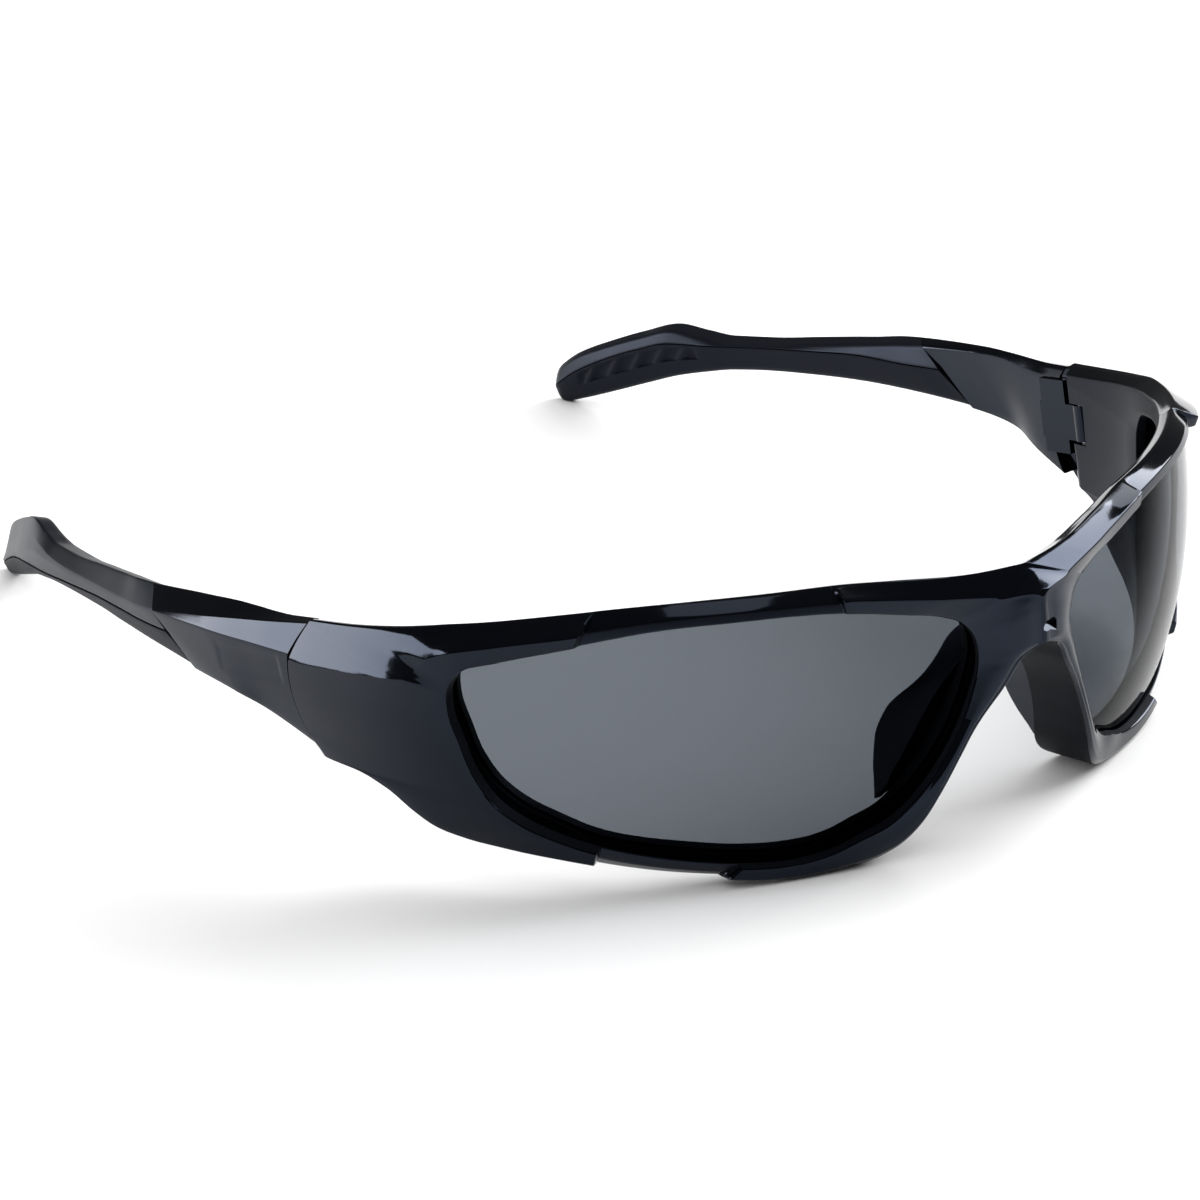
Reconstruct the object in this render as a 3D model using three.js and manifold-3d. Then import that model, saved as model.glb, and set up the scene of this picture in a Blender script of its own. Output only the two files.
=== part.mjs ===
// Wrap-around safety glasses: one gloss frame carrying two separate tinted lenses, a soft nose
// saddle and two side arms with soft grips, hinged on a screw at each end of the frame.
// Units are millimetres. Everything is worked out in the wearer's frame (+X to the wearer's left,
// -Y forward, +Z up, origin at the centre of the lens sphere) and then tipped as it lies on a table.
import * as THREE from "three";
import { mergeVertices } from "three/addons/utils/BufferGeometryUtils.js";
import Module from "manifold-3d";

const wasm = await Module();
wasm.setup();

// ---- driving dimensions ----
const LENS_R = 65.6; // outer radius of both lenses, one common sphere
const LENS_THICK = 2.2;
const LENS_TUCK = 1.0; // how far a lens reaches into its groove
const GROOVE_GAP = 0.28;
const WRAP_START = 63; // degrees round from the nose where the frame leaves the sphere
const WRAP_END = 82;
const WRAP_DROP = 1.4; // how far inside the sphere the frame's end lies
const END_FLAT = 0.6; // share of the vertical bulge lost at the frame's end
const NOSE_DROP = 1.2; // how far inside the sphere everything near the nose lies
const NOSE_START = 12; // degrees round where that drop begins to fade, and where it is gone
const NOSE_END = 40;

const JOINT_GAP = 0.35; // between frame and arm with the arm open
const PIVOT = { x: 61.9, y: -10.8 };
const TONGUE = { r: 1.6, low: -7.4, high: -2.2 };
const KNUCKLE_R = 1.95; // of the frame's two ears round the screw
const PLATE = { low: [60.6, -8.4, -9.5], high: [61.6, -3.6, 1.2] }; // of the arm, behind the ears
const SLOT_GAP = 0.3;
const SCREW = { r: 0.85, play: 0.07, low: -10.9, high: 1.4, head: 1.35 };

const TABLE_TILT = -8.8; // degrees about X from the worn position to lying on a table
const TABLE_SHIFT = [0, -16.85, 25.7];
const GRIP_GAP = 0.3;

// ---- outlines, as [degrees round from the nose, height], of one lens opening and its rim ----
const OPENING = [
  [6.5, -9.8], [6.8, -7.2], [8.2, -4.9], [10.7, -3.3], [14.8, -1.9], [20.8, -0.1], [26.2, 0.9],
  [31.8, 1.5], [39.8, 1.9], [48.6, 1.1], [56.9, -0.1], [60.8, -1.0], [62.5, -3.0], [63.0, -5.8],
  [62.6, -9.8], [62.0, -14.4], [60.4, -18.5], [58.0, -21.1], [55.0, -23.2], [50.8, -25.4],
  [45.4, -27.4], [39.9, -29.0], [35.3, -30.1], [28.8, -31.0], [24.0, -30.6], [20.4, -29.4],
  [17.2, -28.3], [14.6, -26.3], [11.8, -22.9], [9.3, -18.5], [7.5, -14.0],
];
// A third entry marks a corner.
const RIM = [
  [0, -8.8, 1], [0, -5.2], [0, 0.1, 1], [6.5, 0.7], [15.2, 2.2], [21.4, 3.1], [28.2, 3.8],
  [35.4, 4.4], [41.6, 4.7], [50, 4.7], [58, 4.4], [66, 4.15], [76, 3.5], [86, 3.2, 1], [87.5, -4],
  [86, -13.4, 1], [79.5, -14.6], [76.5, -16.4], [74.5, -19], [72.6, -21.2], [69.5, -22.8],
  [64.5, -24.4], [57.8, -26.5], [52.3, -28.3], [45.8, -30.1], [38, -31.8], [32.2, -33.0],
  [27, -33.6], [22.6, -33.5], [19.3, -32.9], [16.3, -31.5], [13.6, -28.9], [11.3, -25.2],
  [9.1, -21.1], [6.9, -17.1], [4.3, -13.2], [2.1, -9.8],
];

// ---- stations round the rim: opening point, rim point, where the crease runs between them,
// then heights off the sphere at opening edge, crease, rim edge, rim back and opening back ----
const STATIONS = [
  [0.5, 0, 0.93, 0.5, 4.3, 4.4, -5.6, -3.6],
  [1.2, 1, 0.95, 0.5, 4.3, 4.4, -3.8, -3.6],
  [1.6, 1.33, 0.96, 0.6, 4.3, 4.3, -3.3, -3.6],
  [2.3, 2, 0.45, 0.7, 3.0, 1.9, -2.5, -3.6],
  [3.3, 3, 0.45, 0.9, 2.3, 1.4, -2.6, -3.6],
  [4.1, 4, 0.5, 1.0, 1.7, -0.5, -3.0, -3.6],
  [5.0, 5, 0.53, 1.0, 1.35, -1.5, -3.2, -3.6],
  [5.07, 5.05, 0.42, 0.6, 0.5, -1.5, -3.2, -3.6],
  [7.0, 6.9, 0.42, 0.6, 0.5, -1.5, -3.2, -3.6],
  [8.93, 8.53, 0.42, 0.6, 0.5, -1.2, -3.0, -3.6],
  [9.0, 8.58, 0.4, 1.5, 2.1, -1.1, -3.0, -3.6],
  [10, 9.8, 0.455, 1.7, 2.3, -0.6, -2.8, -3.6],
  [10.7, 10.5, 0.435, 1.9, 2.3, -0.4, -2.8, -3.6],
  [11.3, 11, 0.43, 2.0, 1.95, -0.2, -2.8, -3.6],
  [11.7, 12, 0.27, 2.0, 1.75, -0.2, -2.8, -3.6],
  [12.0, 12.6, 0.25, 2.0, 1.97, -0.2, -2.8, -3.6],
  [12.2, 13, 0.224, 2.0, 2.2, -0.2, -2.8, -3.6],
  [12.6, 13.33, 0.5, 2.0, 2.1, 0.9, -2.8, -3.6],
  [13, 13.62, 0.96, 2.0, 2.05, 2.0, -2.8, -3.6],
  [14.5, 14.6, 0.96, 2.0, 2.0, 2.0, -2.8, -3.6],
  [15.5, 15, 0.85, 2.0, 2.1, 0.9, -2.8, -3.6],
  [16.2, 17, 0.8, 2.0, 2.2, 0.2, -2.8, -3.6],
  [17, 19, 0.74, 2.0, 2.2, 0.0, -3.0, -3.6],
  [18, 21, 0.66, 1.9, 2.1, 0.1, -3.0, -3.6],
  [18.97, 23, 0.5, 1.8, 2.0, 0.3, -3.0, -3.6],
  [19.05, 23.06, 0.5, 0.5, 0.5, -0.2, -3.0, -3.6],
  [21.93, 24.95, 0.5, 0.5, 0.5, -0.1, -3.0, -3.6],
  [22.02, 25.02, 0.55, 1.4, 1.8, 0.5, -3.0, -3.6],
  [24, 27.5, 0.6, 1.3, 1.9, 0.9, -3.0, -3.6],
  [25.5, 29.3, 0.75, 1.1, 2.1, 1.7, -4.8, -3.6],
  [27, 31, 0.8, 0.6, 2.4, 2.2, -6.2, -3.6],
  [29, 33.5, 0.8, 0.5, 2.1, 1.9, -6.3, -3.6],
  [30.3, 35.3, 0.86, 0.5, 3.1, 3.1, -6.2, -3.6],
];
const BACK_FALL = 0.45; // slope down to the back edge along the top
const STEPS_BETWEEN = 2; // sections added between neighbouring stations
const RADIAL_STEPS = 3; // pieces of the front and back surfaces across the rim

// ---- arm: [along, outer x, thickness, bottom, lower crease, upper crease, top] ----
const ARM = [
  [-10, 65.3, 4.9, -13.8, -1.5, 2.7, 3.7],
  [2, 66.9, 4.6, -9.3, -0.6, 2.0, 3.5],
  [10, 67.9, 4.5, -7.6, 0.0, 1.4, 3.5],
  [18, 68.2, 4.6, -6.3, 0.4, 0.8, 3.35],
  [26, 67.8, 4.7, -5.15, 0.3, 0.5, 3.2],
  [37, 66.8, 4.7, -4.1, 0.0, 0.4, 2.85],
  [47, 65.4, 4.7, -3.6, -0.2, 0.3, 2.35],
  [58, 63.8, 4.8, -3.4, -0.4, 0.2, 1.75],
  [66, 62.4, 4.9, -3.6, -0.4, 0.4, 1.7],
  [71, 61.4, 5.0, -4.1, -0.3, 0.9, 2.4],
  [77, 60.0, 5.0, -4.9, -0.8, 1.1, 3.4],
  [84, 58.2, 4.8, -6.4, -2.2, -0.2, 2.1],
  [91, 56.2, 4.5, -8.0, -4.2, -2.2, 0.4],
  [98, 54.3, 4.0, -9.5, -6.6, -4.6, -1.7],
  [103, 52.9, 3.2, -10.3, -8.3, -7.0, -4.4],
  [106.3, 52.0, 2.0, -9.6, -8.8, -8.2, -6.9],
];
const GRIP_START = 19;
const GRIP_END = 104.6;
const GRIP_WALL = 1.2;
const RIB_UP = 1.3; // bottom of the arm's core above the bottom of the grip
const SKEW = { z: 1.2, x: 0.3, zMid: -3.5, reach: 20 };
// Where gloss arm and soft grip part, as heights along the outside and inside of the arm.
const PARTING = [
  [0, -2.0, -1.3], [26, -1.7, -0.5], [42, -1.4, 0.5], [58, -1.9, 0.5], [68, -2.6, 0.4],
  [77, -3.3, 0.6], [84, -4.0, -0.6], [91, -5.0, -2.4], [98, -6.8, -4.8], [103, -8.4, -7.2],
  [106.3, -9.0, -8.6],
];

// ---- nose saddle: opening point beside its front edge, then its rear edge [x, y, z] ----
const SADDLE = [
  [27.1, 13.2, -49.1, -29.9],
  [27.8, 12.2, -48.6, -27.4],
  [28.4, 11.2, -47.8, -24.7],
  [29.0, 10.2, -47.5, -21.8],
  [29.5, 9.3, -49.0, -18.4],
  [30.1, 7.6, -52.8, -14.6],
  [30.8, 4.2, -55.2, -10.6],
  [31.5, 0, -55.7, -9.0],
];
const SADDLE_THICK = 1.7;

const COLOURS = {
  gloss: { color: 0x0c0d10, roughness: 0.12, metalness: 0 },
  smoke: { color: 0x5c6062, roughness: 0.05, metalness: 0 },
  soft: { color: 0x17181b, roughness: 0.75, metalness: 0 },
  steel: { color: 0x9a9da1, roughness: 0.3, metalness: 1 },
};

// ---- small helpers ----
const mix = (a, b, s) => a + (b - a) * s;
const ease = (s) => {
  const c = Math.min(1, Math.max(0, s));
  return c * c * (3 - 2 * c);
};

// Smooth curve through points [x, y, corner?], closed, at a fractional index.
function closedCurve(points, index) {
  const n = points.length;
  const at = (k) => points[((k % n) + n) % n];
  const i = Math.floor(index);
  const s = index - i;
  const [before, p, q, after] = [at(i - 1), at(i), at(i + 1), at(i + 2)];
  const length = (a, b) => Math.hypot(b[0] - a[0], b[1] - a[1]);
  const [l0, l1, l2] = [length(before, p), length(p, q), length(q, after)];
  return [0, 1].map((k) => {
    const step = q[k] - p[k];
    const tangent = (la, da, lb, db) => ((da / la) * lb + (db / lb) * la) / (la + lb);
    const m0 = p[2] ? step : tangent(l0, p[k] - before[k], l1, step) * l1;
    const m1 = q[2] ? step : tangent(l1, step, l2, after[k] - q[k]) * l1;
    const a = 2 * p[k] - 2 * q[k] + m0 + m1;
    const b = 3 * q[k] - 3 * p[k] - 2 * m0 - m1;
    return ((a * s + b) * s + m0) * s + p[k];
  });
}

// Rows of a table, first column rising, read at a value with no overshoot.
function readTable(rows, value) {
  const last = rows.length - 1;
  const v = Math.min(rows[last][0], Math.max(rows[0][0], value));
  let i = 0;
  while (i < last - 1 && rows[i + 1][0] < v) i += 1;
  const slope = (k, c) => (rows[k + 1][c] - rows[k][c]) / (rows[k + 1][0] - rows[k][0]);
  const tangent = (k, c) => {
    if (k === 0) return slope(0, c);
    if (k === last) return slope(last - 1, c);
    const [a, b] = [slope(k - 1, c), slope(k, c)];
    return a * b <= 0 ? 0 : (2 * a * b) / (a + b);
  };
  const width = rows[i + 1][0] - rows[i][0];
  const s = (v - rows[i][0]) / width;
  return rows[i].map((_, c) => {
    if (c === 0) return v;
    const [m0, m1] = [tangent(i, c) * width, tangent(i + 1, c) * width];
    const a = 2 * rows[i][c] - 2 * rows[i + 1][c] + m0 + m1;
    const b = 3 * rows[i + 1][c] - 3 * rows[i][c] - 2 * m0 - m1;
    return ((a * s + b) * s + m0) * s + rows[i][c];
  });
}

// A point at an angle round from the nose, a height, and a distance off the lens surface.
function onWrap(degrees, z, off) {
  const share = ease((degrees - WRAP_START) / (WRAP_END - WRAP_START));
  const nose = 1 - ease((degrees - NOSE_START) / (NOSE_END - NOSE_START));
  const radius = LENS_R - WRAP_DROP * share - NOSE_DROP * nose;
  const bulge = 1 - END_FLAT * share;
  const level = Math.sqrt(radius * radius - z * z * bulge);
  const angle = THREE.MathUtils.degToRad(degrees);
  const base = new THREE.Vector3(level * Math.sin(angle), -level * Math.cos(angle), z);
  const normal = new THREE.Vector3(base.x, base.y, z * bulge).normalize();
  return base.addScaledVector(normal, off);
}

const jointY = (z) => -4.7 - 0.049 * (z + 5.5) ** 2;

// A closed solid through rings of equal length: capped at the ends, or joined round.
function loft(rings, closed) {
  const count = rings[0].length;
  const positions = rings.flat().flatMap((p) => [p.x, p.y, p.z]);
  const indices = [];
  const spans = closed ? rings.length : rings.length - 1;
  for (let i = 0; i < spans; i += 1) {
    const a = i * count;
    const b = ((i + 1) % rings.length) * count;
    for (let j = 0; j < count; j += 1) {
      const k = (j + 1) % count;
      indices.push(a + j, b + j, b + k, a + j, b + k, a + k);
    }
  }
  if (!closed) {
    const cap = (ring, base, flip) => {
      const middle = new THREE.Vector3();
      ring.forEach((p) => middle.addScaledVector(p, 1 / count));
      const normal = new THREE.Vector3();
      ring.forEach((p, j) => {
        normal.add(new THREE.Vector3().crossVectors(p, ring[(j + 1) % count]));
      });
      normal.normalize();
      const across = new THREE.Vector3(0.31, 0.42, 0.85).cross(normal).normalize();
      const up = new THREE.Vector3().crossVectors(normal, across);
      const flat = ring.map((p) => new THREE.Vector2(p.dot(across), p.dot(up)));
      let faces = THREE.ShapeUtils.triangulateShape(flat, []).map((f) => f.map((k) => base + k));
      if (faces.length !== count - 2) {
        positions.push(middle.x, middle.y, middle.z);
        const hub = positions.length / 3 - 1;
        faces = ring.map((_, j) => [hub, base + j, base + ((j + 1) % count)]);
      }
      faces.forEach(([p, q, r]) => indices.push(p, flip ? r : q, flip ? q : r));
    };
    cap(rings[0], 0, false);
    cap(rings[rings.length - 1], (rings.length - 1) * count, true);
  }
  const geometry = new THREE.BufferGeometry();
  geometry.setAttribute("position", new THREE.Float32BufferAttribute(positions, 3));
  geometry.setIndex(indices);
  return geometry;
}

function toSolid(geometry) {
  const bare = geometry.clone();
  bare.deleteAttribute("normal");
  bare.deleteAttribute("uv");
  const merged = mergeVertices(bare, 1e-4);
  const make = (triVerts) =>
    new wasm.Manifold(
      new wasm.Mesh({
        numProp: 3,
        vertProperties: merged.attributes.position.array,
        triVerts,
      }),
    );
  const triVerts = new Uint32Array(merged.index.array);
  const solid = make(triVerts);
  if (solid.volume() > 0) return solid;
  for (let i = 0; i < triVerts.length; i += 3) {
    [triVerts[i + 1], triVerts[i + 2]] = [triVerts[i + 2], triVerts[i + 1]];
  }
  return make(triVerts);
}

function toGeometry(solid) {
  const mesh = solid.getMesh();
  const geometry = new THREE.BufferGeometry();
  const positions = new THREE.Float32BufferAttribute(mesh.vertProperties, 3);
  geometry.setAttribute("position", positions);
  geometry.setIndex(Array.from(mesh.triVerts));
  return geometry;
}

const mirrored = (geometry) => geometry.clone().applyMatrix4(new THREE.Matrix4().makeScale(-1, 1, 1));

const boxBetween = (low, high) =>
  new THREE.BoxGeometry(...high.map((v, k) => v - low[k])).translate(
    ...high.map((v, k) => (v + low[k]) / 2),
  );

// An upright round bar centred on the pivot line.
const barAtPivot = (radius, low, high, sides) =>
  new THREE.CylinderGeometry(radius, radius, high - low, sides)
    .rotateX(Math.PI / 2)
    .translate(PIVOT.x, PIVOT.y, (low + high) / 2);

// Everything behind (side 1) or in front (side -1) of the curved joint face, moved back by a gap.
function pastJoint(side, gap) {
  const curve = Array.from({ length: 11 }, (_, i) => mix(-16, 8, i / 10));
  const face = curve.map((z) => [jointY(z) + gap, z]);
  const outline = [...face, [gap - 8 + 14 * side, 8], [gap - 8 + 14 * side, -16]];
  return loft([50, 75].map((x) => outline.map(([y, z]) => new THREE.Vector3(x, y, z))), false);
}

// The table top, as it lies in the wearer's frame: what dips below it is cut to a small flat foot.
const tableTop = boxBetween([-90, -110, -20], [90, 110, 0])
  .translate(...TABLE_SHIFT.map((v) => -v))
  .rotateX(THREE.MathUtils.degToRad(-TABLE_TILT));

// ---- frame ----
const LAPS = OPENING.length;
const RING_ROWS = [
  ...STATIONS,
  [STATIONS[0][0] + LAPS, STATIONS[0][1] + RIM.length, ...STATIONS[0].slice(2)],
];

function station(t) {
  const [, rimIndex, creaseAt, ...heights] = readTable(RING_ROWS, t);
  const opening = closedCurve(OPENING, t);
  const rim = closedCurve(RIM, rimIndex);
  return { opening, rim, rimIndex, creaseAt, heights };
}

// Degrees and height at a share of the way from the opening to the rim.
const between = ({ opening, rim }, s) => [mix(opening[0], rim[0], s), mix(opening[1], rim[1], s)];

// Share of the way that a distance in millimetres makes.
function shareFor({ opening, rim }, distance) {
  const wide = THREE.MathUtils.degToRad(rim[0] - opening[0]) * LENS_R * 0.93;
  return distance / Math.hypot(wide, rim[1] - opening[1]);
}

// The nose side runs straight back instead of in towards the sphere's centre, and along the top
// the back edge lies lower than the front one.
function rimBack(at, off) {
  const nasal = at.rim[1] < 0 ? ease((34 - at.rim[0]) / 14) : 0;
  const grow = 1 / (1 + (off / LENS_R) * nasal);
  const degrees = THREE.MathUtils.radToDeg(
    Math.asin(Math.min(1, Math.sin(THREE.MathUtils.degToRad(at.rim[0])) * mix(1, grow, 0.6))),
  );
  const fall = BACK_FALL * (at.heights[2] - off) * ease((at.rim[1] + 2) / 2);
  return [degrees, at.rim[1] * grow - fall];
}

function rimSection(t) {
  const at = station(t);
  const [hOpen, hCrease, hRim, hRimBack, hOpenBack] = at.heights;
  const points = [];
  const add = (s, off) => points.push(onWrap(...between(at, s), off));
  const tuck = shareFor(at, LENS_TUCK + GROOVE_GAP);
  add(0, hOpen);
  for (let k = 1; k < RADIAL_STEPS; k += 1) {
    add((at.creaseAt * k) / RADIAL_STEPS, mix(hOpen, hCrease, k / RADIAL_STEPS));
  }
  add(at.creaseAt, hCrease);
  add(1, hRim);
  points.push(onWrap(...rimBack(at, hRimBack), hRimBack));
  for (let k = 1; k < RADIAL_STEPS; k += 1) {
    const s = 1 - k / RADIAL_STEPS;
    const [degrees, z] = rimBack(at, hRimBack);
    const off = mix(hRimBack, hOpenBack, k / RADIAL_STEPS);
    points.push(onWrap(mix(at.opening[0], degrees, s), mix(at.opening[1], z, s), off));
  }
  add(0, hOpenBack);
  add(0, -LENS_THICK - GROOVE_GAP);
  add(tuck, -LENS_THICK - GROOVE_GAP);
  add(tuck, GROOVE_GAP);
  add(0, GROOVE_GAP);
  return points;
}

function sectionTimes() {
  return RING_ROWS.slice(0, -1).flatMap(([t], i) => {
    const next = RING_ROWS[i + 1][0];
    const count = next - t < 0.2 ? 1 : STEPS_BETWEEN + (next - t > 1.5 ? 1 : 0);
    return Array.from({ length: count }, (_, k) => mix(t, next, k / count));
  });
}

function makeFrame() {
  const half = loft(sectionTimes().map(rimSection), true);
  let frame = toSolid(half).add(toSolid(mirrored(half)));
  const slot = boxBetween(
    [PIVOT.x - 8, PIVOT.y - TONGUE.r - SLOT_GAP, TONGUE.low - SLOT_GAP],
    [PIVOT.x + TONGUE.r + SLOT_GAP, PIVOT.y + 9, TONGUE.high + SLOT_GAP],
  );
  const bore = barAtPivot(SCREW.r + SCREW.play, SCREW.low - 0.3, SCREW.high + 0.3, 20);
  const headRoom = barAtPivot(SCREW.head + 0.3, SCREW.low - 6, SCREW.low + 1.0, 20);
  const corner = boxBetween([PIVOT.x - 8, PIVOT.y, -16], [PIVOT.x, PIVOT.y + 9, 8]);
  const ears = barAtPivot(KNUCKLE_R, -17, 9, 24);
  const foldRoom = toGeometry(toSolid(corner).subtract(toSolid(ears)));
  [pastJoint(1, 0), foldRoom, slot, bore, headRoom].forEach((cut) => {
    frame = frame.subtract(toSolid(cut)).subtract(toSolid(mirrored(cut)));
  });
  return frame.subtract(toSolid(tableTop));
}

// ---- lens: a shell of the lens sphere a little wider than its opening ----
function lensGeometry() {
  const around = 62;
  const across = 4;
  const middle = [35, -13.5];
  const rings = [];
  const edge = Array.from({ length: around }, (_, i) => {
    const at = station(mix(RING_ROWS[0][0], RING_ROWS[0][0] + LAPS, i / around));
    return between(at, shareFor(at, LENS_TUCK));
  });
  const ringAt = (share, off) =>
    edge.map(([a, z]) => onWrap(mix(middle[0], a, share), mix(middle[1], z, share), off));
  for (let k = 1; k <= across; k += 1) rings.push(ringAt(k / across, 0));
  for (let k = across; k >= 1; k -= 1) rings.push(ringAt(k / across, -LENS_THICK));
  const geometry = loft(rings, true);
  // The loft joins the two smallest rings to each other: open that tube and close each disc.
  const index = Array.from(geometry.index.array).slice(0, (rings.length - 1) * around * 6);
  const positions = Array.from(geometry.attributes.position.array);
  const centres = [0, -LENS_THICK].map((off) => {
    positions.push(...onWrap(...middle, off).toArray());
    return positions.length / 3 - 1;
  });
  const inner = (rings.length - 1) * around;
  for (let i = 0; i < around; i += 1) {
    const j = (i + 1) % around;
    index.push(centres[0], i, j, centres[1], inner + j, inner + i);
  }
  const closed = new THREE.BufferGeometry();
  closed.setAttribute("position", new THREE.Float32BufferAttribute(positions, 3));
  closed.setIndex(index);
  return closed;
}

// ---- arm and grip ----
function skewed(along, x, z, outerX, thickness) {
  const fade = 1 - ease(Math.abs(along - GRIP_START) / SKEW.reach);
  const shift = SKEW.z * (z - SKEW.zMid) + SKEW.x * (x - outerX + thickness / 2);
  return new THREE.Vector3(x, along + fade * shift, z);
}

function armShape(along) {
  const [, outer, thick, low, crease1, crease2, top] = readTable(ARM, along);
  const [, partOut, partIn] = readTable(PARTING, along);
  return { along, outer, inner: outer - thick, thick, low, crease1, crease2, top, partOut, partIn };
}

// Corner points of the gloss arm's section; behind the grip's front end only its core goes down.
function armSection(along, gripped) {
  const a = armShape(along);
  const wall = GRIP_WALL + GRIP_GAP;
  const core = a.low + RIB_UP + GRIP_GAP;
  const lowOut = gripped ? Math.max(a.partOut, a.low + 0.9) + GRIP_GAP / 2 : a.low;
  const lowIn = gripped ? Math.max(a.partIn, a.low + 0.9) + GRIP_GAP / 2 : a.low;
  const corners = [
    [a.outer - (gripped ? 0.05 : 0.5), lowOut],
    [a.outer, Math.max(a.crease1, lowOut + 0.35)],
    [a.outer - 0.8, Math.max(a.crease2, lowOut + 0.7)],
    [a.outer - 2.0, a.top],
    [a.inner + 0.6, a.top - 0.9],
    [a.inner + (gripped ? 0 : 0.3), lowIn],
    [a.inner + (gripped ? wall : 0.9), gripped ? Math.min(lowIn, a.top - 0.9) : a.low],
    [a.inner + wall, gripped ? Math.min(core, lowIn - 0.3) : a.low],
    [a.outer - wall, gripped ? Math.min(core, lowOut - 0.3) : a.low],
    [a.outer - (gripped ? wall : 0.9), lowOut],
  ];
  return corners.map(([x, z]) => skewed(along, x, z, a.outer, a.thick));
}

function gripSection(along) {
  const a = armShape(along);
  const floor = a.low + RIB_UP;
  const topOut = Math.max(a.partOut, a.low + 0.9) - GRIP_GAP / 2;
  const topIn = Math.max(a.partIn, a.low + 0.9) - GRIP_GAP / 2;
  return [
    [a.outer, topOut],
    [a.outer - 0.7, a.low],
    [a.inner + 0.7, a.low],
    [a.inner, topIn],
    [a.inner + GRIP_WALL, topIn],
    [a.inner + GRIP_WALL, Math.min(floor, topIn - 0.3)],
    [a.outer - GRIP_WALL, Math.min(floor, topOut - 0.3)],
    [a.outer - GRIP_WALL, topOut],
  ].map(([x, z]) => skewed(along, x, z, a.outer, a.thick));
}

const ARM_TIMES = [-3, 4, 10, 15, GRIP_START];
const GRIP_TIMES = [26, 33, 41, 50, 58, 65, 70, 74, 78, 82, 86, 90, 94, 98, 101, 103, GRIP_END];

function makeArm() {
  const rings = [armSection(ARM[0][0], false), ...ARM_TIMES.map((w) => armSection(w, false))];
  rings.push(armSection(GRIP_START, true), ...GRIP_TIMES.map((w) => armSection(w, true)));
  const arm = toSolid(loft(rings, false)).subtract(toSolid(pastJoint(-1, JOINT_GAP)));
  const neck = boxBetween(
    [PIVOT.x - TONGUE.r, PIVOT.y, TONGUE.low],
    [PIVOT.x + TONGUE.r, -3.2, TONGUE.high],
  );
  const plate = boxBetween(PLATE.low, PLATE.high);
  const knuckle = barAtPivot(TONGUE.r, TONGUE.low, TONGUE.high, 24);
  const bore = barAtPivot(SCREW.r + SCREW.play, TONGUE.low - 1, TONGUE.high + 1, 20);
  return arm.add(toSolid(neck)).add(toSolid(plate)).add(toSolid(knuckle)).subtract(toSolid(bore));
}

function makeGrip() {
  const times = [GRIP_START + GRIP_GAP, ...GRIP_TIMES];
  return toSolid(loft(times.map(gripSection), false)).subtract(toSolid(tableTop));
}

function makeScrew() {
  const profile = [
    [0, SCREW.low],
    [SCREW.head, SCREW.low],
    [SCREW.head, SCREW.low + 0.7],
    [SCREW.r, SCREW.low + 0.7],
    [SCREW.r, SCREW.high],
    [0, SCREW.high],
  ].map(([r, z]) => new THREE.Vector2(r, z));
  return new THREE.LatheGeometry(profile, 20).rotateX(Math.PI / 2).translate(PIVOT.x, PIVOT.y, 0);
}

// ---- nose saddle: fitted to the frame's back with a gap ----
function makeSaddle(frame) {
  const path = SADDLE.map(([t, ...rear]) => {
    const at = station(t);
    const off = at.heights[3] - GRIP_GAP;
    return [onWrap(...rimBack(at, off), off), new THREE.Vector3(...rear)];
  });
  path[path.length - 1].forEach((p) => p.setX(0));
  const flip = (p) => new THREE.Vector3(-p.x, p.y, p.z);
  const edges = [...path, ...path.slice(0, -1).reverse().map((pair) => pair.map(flip))];
  const rings = edges.map(([front, rear], i) => {
    const before = edges[Math.max(0, i - 1)][0];
    const after = edges[Math.min(edges.length - 1, i + 1)][0];
    const along = new THREE.Vector3().subVectors(after, before);
    const depth = new THREE.Vector3().subVectors(rear, front);
    const out = new THREE.Vector3().crossVectors(depth, along).normalize();
    const shift = (p, d) => p.clone().addScaledVector(out, d);
    return [front, rear, shift(rear, SADDLE_THICK * 0.8), shift(front, SADDLE_THICK)];
  });
  const saddle = toSolid(loft(rings, false));
  return saddle.subtract(frame).subtract(frame.translate(0, GRIP_GAP, 0));
}

// ---- assembly ----
const group = new THREE.Group();
group.name = "safety_glasses";

function lay(geometry) {
  return geometry.rotateX(THREE.MathUtils.degToRad(TABLE_TILT)).translate(...TABLE_SHIFT);
}

function addMesh(name, geometry, look) {
  const laid = lay(geometry);
  laid.computeVertexNormals();
  const mesh = new THREE.Mesh(laid, new THREE.MeshStandardMaterial(COLOURS[look]));
  mesh.name = name;
  group.add(mesh);
}

const frame = makeFrame();
addMesh("front_frame", toGeometry(frame), "gloss");
addMesh("nose_saddle", toGeometry(makeSaddle(frame)), "soft");
const sidePieces = [
  ["lens", toGeometry(toSolid(lensGeometry())), "smoke"],
  ["arm", toGeometry(makeArm()), "gloss"],
  ["arm_grip", toGeometry(makeGrip()), "soft"],
  ["hinge_screw", toGeometry(toSolid(makeScrew())), "steel"],
];
sidePieces.forEach(([name, geometry, look]) => {
  addMesh(`${name}_right`, toGeometry(toSolid(mirrored(geometry))), look);
  addMesh(`${name}_left`, geometry, look);
});

export default group;
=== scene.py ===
"""The looks of a pair of wrap-around safety glasses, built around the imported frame.

Shapes are worked out in millimetres in the wearer's frame (+X to the wearer's left, -Y forward,
+Z up, origin at the centre of the lens sphere) and then tipped as the glasses lie on a table.
Everything that comes in a pair is made for the left side and mirrored for the right.
"""
import math

import bmesh
import bpy
import numpy as np
from mathutils import Matrix, Vector


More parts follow.
